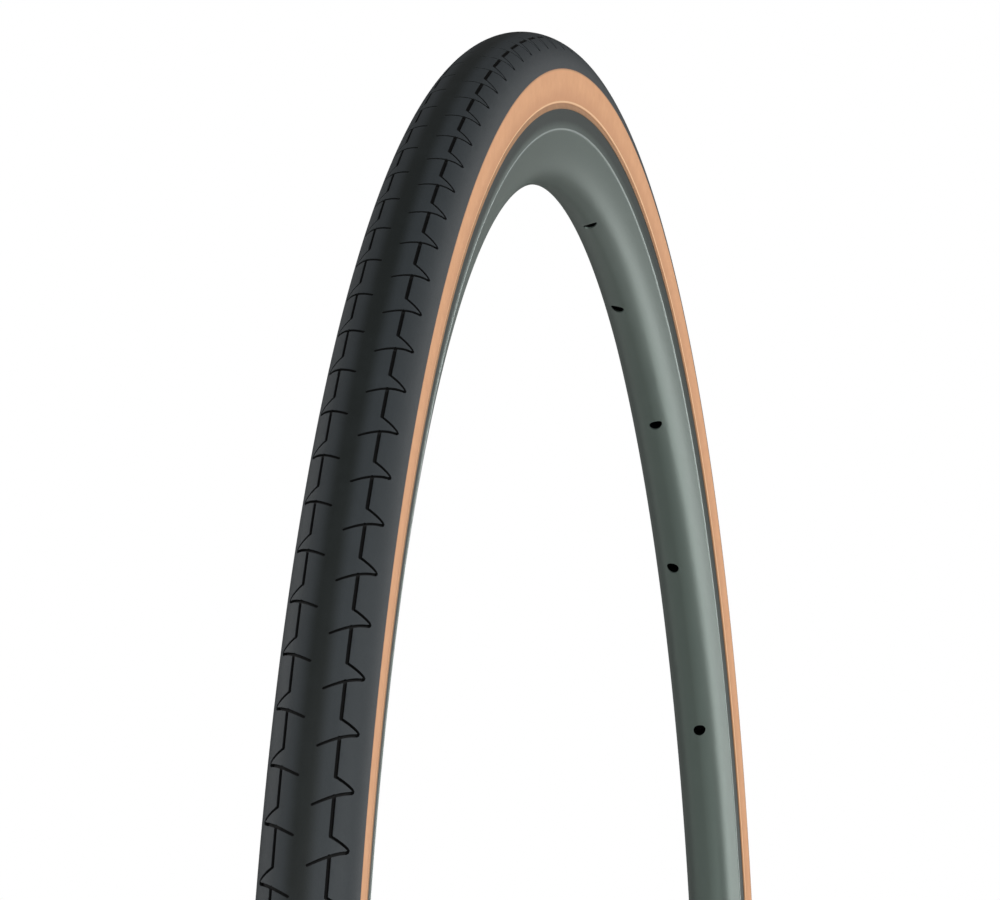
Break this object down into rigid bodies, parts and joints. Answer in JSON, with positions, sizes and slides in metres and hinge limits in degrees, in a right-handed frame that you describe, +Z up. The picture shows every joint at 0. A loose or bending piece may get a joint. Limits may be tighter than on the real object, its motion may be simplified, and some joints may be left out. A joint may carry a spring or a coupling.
{
  "type": "bicycle tire",
  "caption": "Narrow road bicycle tyre with a black patterned tread and tan sidewalls, mounted with its tube and valve on a drilled double-wall rim.",
  "frame": {"origin": "centre of the wheel, on the axle line midway between the two sidewalls", "axes": "+Y along the axle to the left of the rolling wheel, +X forwards, +Z up; the valve points up from the bottom of the wheel"},
  "size_m": [0.6741, 0.0216, 0.6742],
  "materials": {
    "tread_rubber": "matt rubber",
    "breaker_fabric": "woven",
    "casing_fabric": "rubberised cord",
    "tan_sidewall": "tan rubberised cotton",
    "bead_steel": "bundled wire",
    "chafer_fabric": "rubberised strip",
    "tube_rubber": "talced butyl",
    "tape_cloth": "woven tape",
    "rim_alloy": "dark hard-anodised, satin",
    "sleeve_alloy": "mill finish",
    "valve_brass": "bright",
    "core_ptfe": "white seal",
    "seal_rubber": "black seal",
    "nut_nickel": "nickel plated",
    "cap_plastic": "black moulded"
  },
  "bodies": {
    "hoop": {"tread_cap": "tread_rubber", "breaker_strip": "breaker_fabric", "casing_ply_outer": "casing_fabric", "casing_ply_inner": "casing_fabric", "sidewall_left": "tan_sidewall", "sidewall_right": "tan_sidewall", "bead_wire_left": "bead_steel", "bead_wire_right": "bead_steel", "chafer_left": "chafer_fabric", "chafer_right": "chafer_fabric", "inner_tube": "tube_rubber", "valve_patch": "tube_rubber", "rim_tape": "tape_cloth", "rim": "rim_alloy", "rim_joint_sleeve": "sleeve_alloy", "valve_stem": "valve_brass", "valve_core": "valve_brass", "valve_core_seal": "core_ptfe"},
    "nut_washer": {"rim_nut_washer": "seal_rubber"},
    "rim_nut": {"rim_nut": "nut_nickel"},
    "valve_pin": {"valve_pin": "valve_brass", "valve_pin_seal": "seal_rubber"},
    "lock_nut": {"lock_nut": "valve_brass"},
    "dust_cap": {"dust_cap": "cap_plastic"}
  },
  "joints": [
    {"name": "valve_pin_press", "type": "slide", "parent": "hoop", "child": "valve_pin", "axis": [0, 0, -1], "range_m": [0, 0.002], "stiffness_N_per_m": 60, "springref_m": -0.004},
    {"name": "lock_nut_unscrew", "type": "slide", "parent": "valve_pin", "child": "lock_nut", "axis": [0, 0, 1], "range_m": [-0.0015, 0.0008]},
    {"name": "rim_nut_travel", "type": "slide", "parent": "hoop", "child": "nut_washer", "axis": [0, 0, 1], "range_m": [0, 0.0048]},
    {"name": "rim_nut_turn", "type": "hinge", "parent": "nut_washer", "child": "rim_nut", "pos_m": [0, 0, -0.293], "axis": [0, 0, 1], "range_deg": [0, 2160]},
    {"name": "dust_cap_off", "type": "slide", "parent": "hoop", "child": "dust_cap", "axis": [0, 0, 1], "range_m": [0, 0.03]}
  ],
  "couplings": [
    {"joint": "rim_nut_turn", "follows": "rim_nut_travel", "rad_per_m": 7854}
  ]
}
